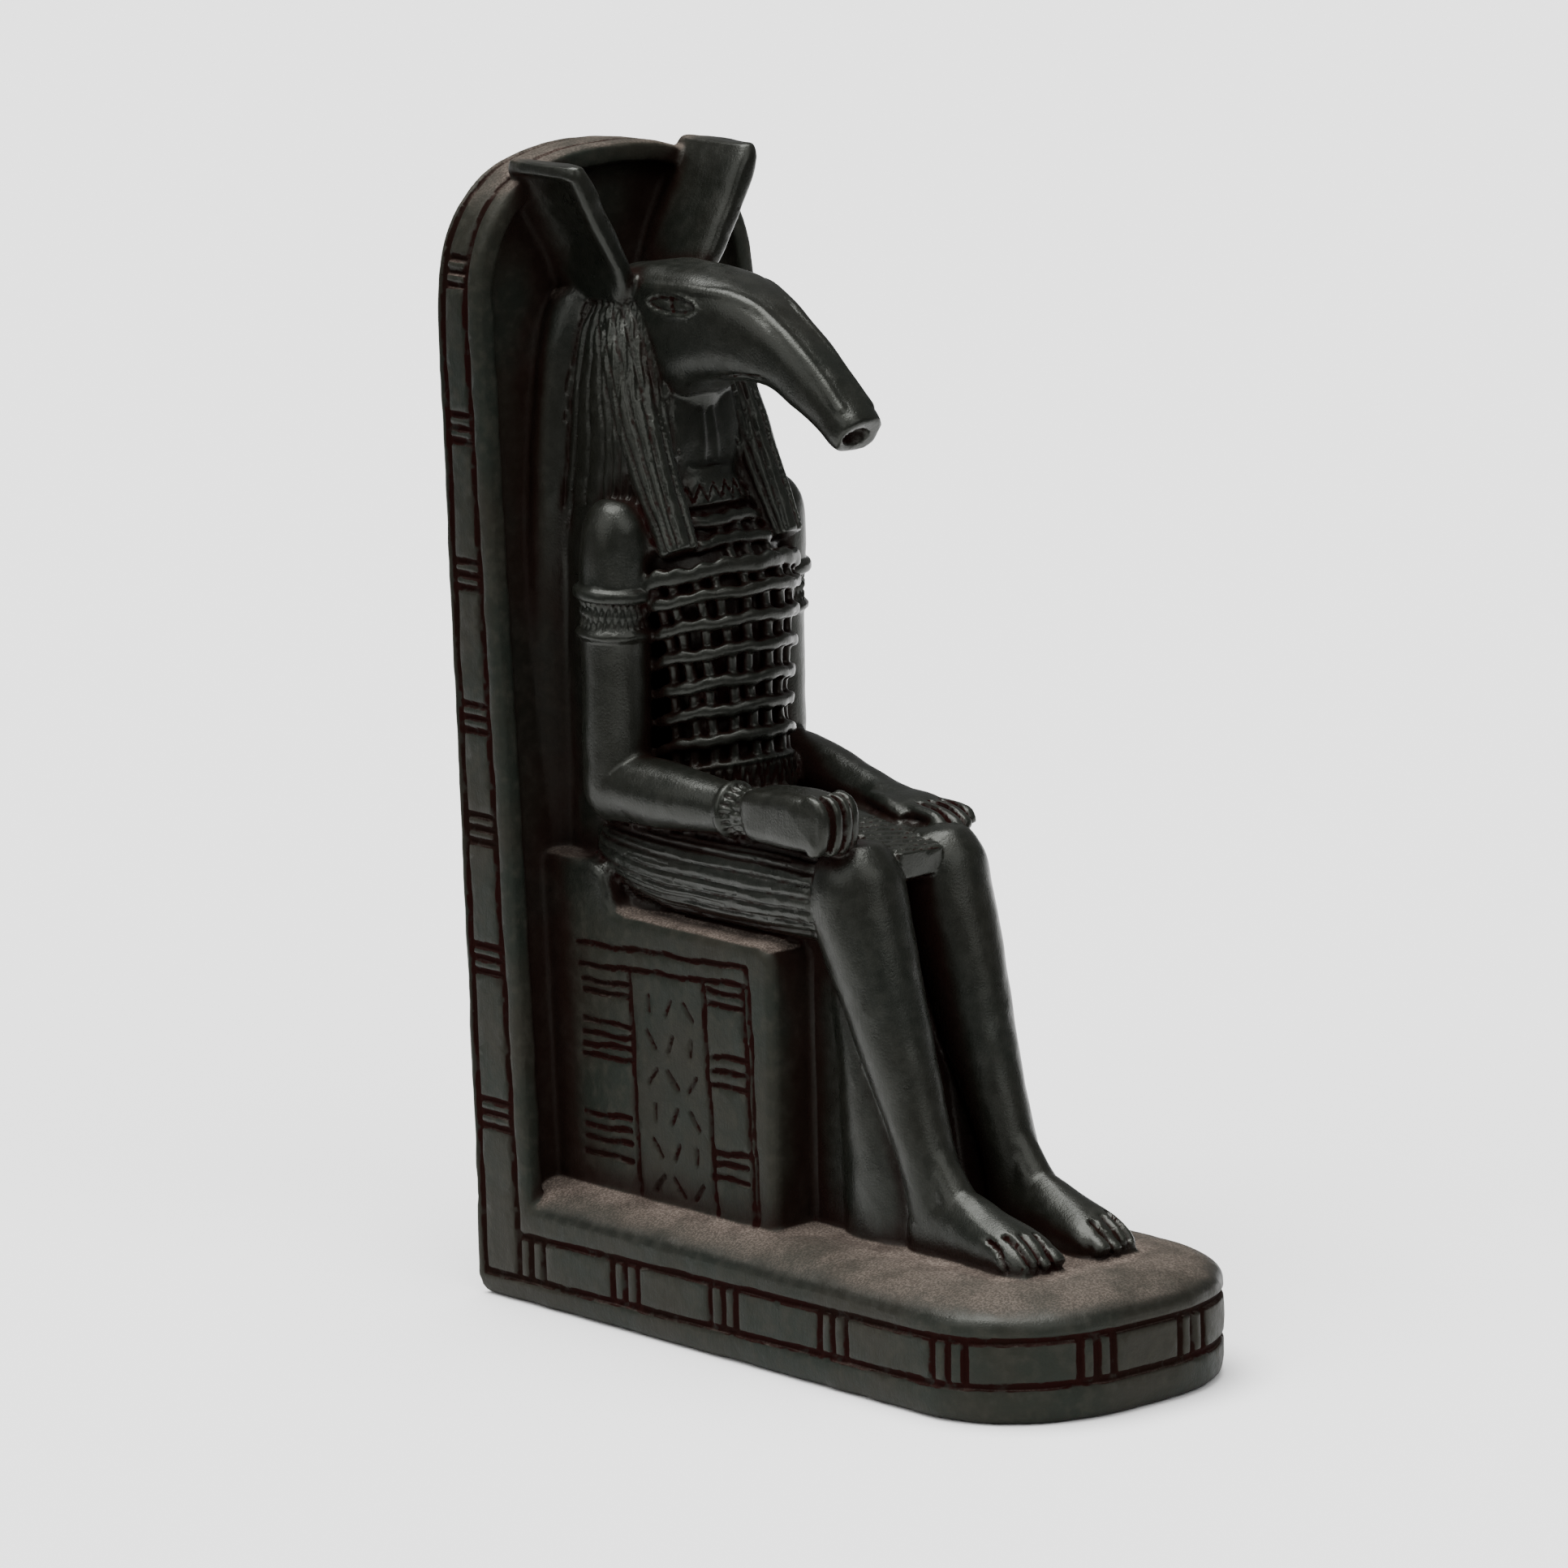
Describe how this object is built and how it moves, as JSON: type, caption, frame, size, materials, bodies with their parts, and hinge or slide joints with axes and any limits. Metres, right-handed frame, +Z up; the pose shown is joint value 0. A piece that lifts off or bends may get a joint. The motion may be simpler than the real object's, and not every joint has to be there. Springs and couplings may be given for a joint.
{
  "type": "seated deity statue",
  "caption": "Seated animal-headed god statuette in dark polished stone, on a throne with a round-topped back slab and a rounded base, carved in one piece",
  "frame": {"origin": "middle of the bounding box footprint, on the ground", "axes": "+Z up, the figure faces -Y, its right hand is on the -X side"},
  "size_m": [0.0628, 0.1434, 0.2],
  "materials": {
    "stone": "polished, with red-brown and pale dust in the recesses"
  },
  "bodies": {
    "root": {"seth_statue": "stone"}
  },
  "joints": []
}
